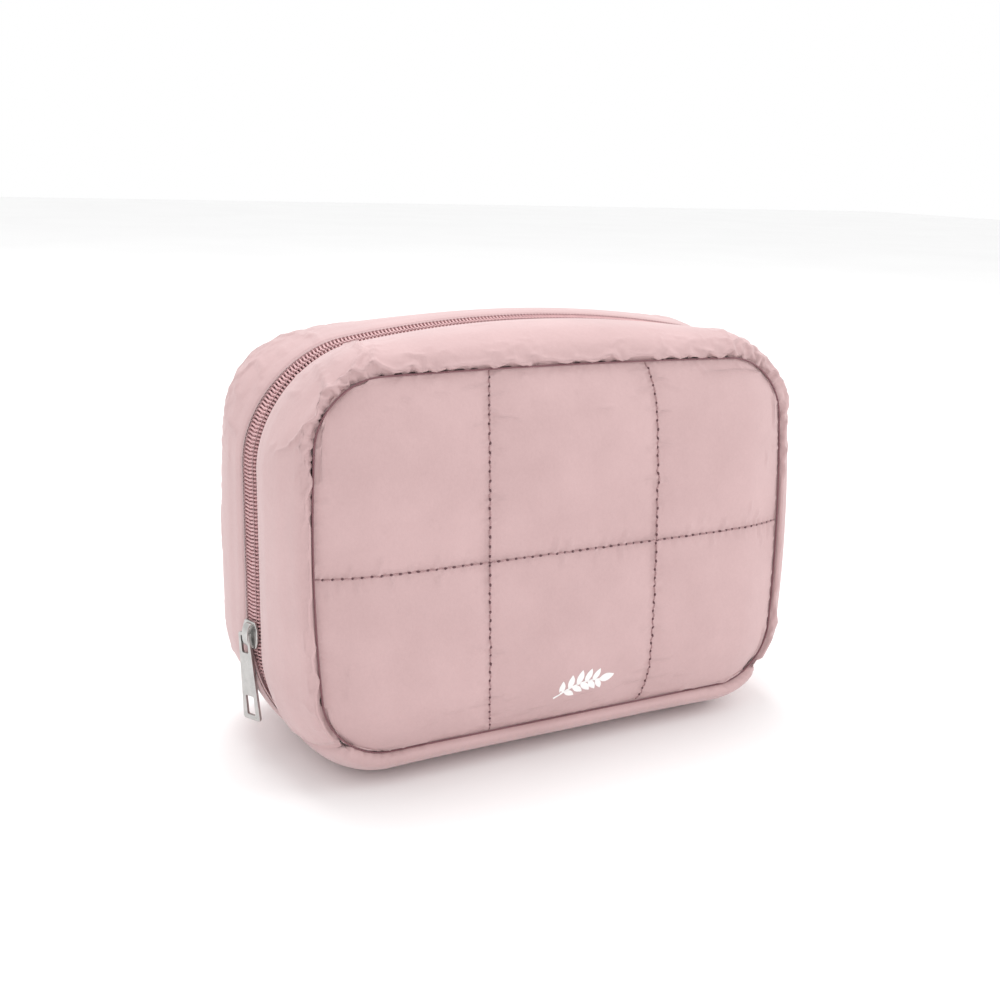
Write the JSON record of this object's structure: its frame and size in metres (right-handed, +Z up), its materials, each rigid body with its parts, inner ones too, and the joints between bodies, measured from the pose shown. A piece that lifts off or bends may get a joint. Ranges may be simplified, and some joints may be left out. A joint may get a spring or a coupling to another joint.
{
  "type": "makeup bag",
  "caption": "Puffy quilted makeup bag with two padded half shells, a coil zip round three sides, and a metal slider with a hanging pull tab.",
  "frame": {"origin": "middle of the base, on the surface the bag stands on, straight below the zip", "axes": "+Z up, -Y towards the front panel, +X along the bag's width, away from the side with the slider"},
  "size_m": [0.2396, 0.108, 0.1726],
  "materials": {
    "nylon_cover": "soft matte woven nylon with a slight sheen",
    "wadding": "white fibre wadding",
    "lining": "smooth thin nylon lining",
    "quilting_thread": "twisted polyester thread",
    "zip_tape": "woven herringbone tape",
    "zip_coil": "moulded nylon coil",
    "slider_metal": "satin silver plated zinc"
  },
  "bodies": {
    "rear_shell": {"rear_panel_cover": "nylon_cover", "rear_panel_wadding": "wadding", "rear_panel_lining": "lining", "rear_quilt_stitching": "quilting_thread", "rear_gusset_cover": "nylon_cover", "rear_gusset_wadding": "wadding", "rear_gusset_lining": "lining", "rear_bottom_cover": "nylon_cover", "rear_bottom_wadding": "wadding", "rear_bottom_lining": "lining", "rear_zip_tape": "zip_tape", "rear_zip_coil": "zip_coil", "rear_seam_binding": "lining"},
    "front_shell": {"front_panel_cover": "nylon_cover", "front_panel_wadding": "wadding", "front_panel_lining": "lining", "front_quilt_stitching": "quilting_thread", "front_gusset_cover": "nylon_cover", "front_gusset_wadding": "wadding", "front_gusset_lining": "lining", "front_bottom_cover": "nylon_cover", "front_bottom_wadding": "wadding", "front_bottom_lining": "lining", "front_zip_tape": "zip_tape", "front_zip_coil": "zip_coil", "front_seam_binding": "lining"},
    "slider": {"slider_body": "slider_metal"},
    "tab": {"pull_tab": "slider_metal"}
  },
  "joints": [
    {"name": "front_opens", "type": "hinge", "parent": "rear_shell", "child": "front_shell", "pos_m": [0, 0, 0], "axis": [1, 0, 0], "range_deg": [0, 170]},
    {"name": "slider_travels", "type": "slide", "parent": "rear_shell", "child": "slider", "axis": [0, 0, 1], "range_m": [0, 0.06]},
    {"name": "tab_swings", "type": "hinge", "parent": "slider", "child": "tab", "pos_m": [-0.1194, 0, 0.051], "axis": [0, 1, 0], "range_deg": [0, 160]}
  ]
}
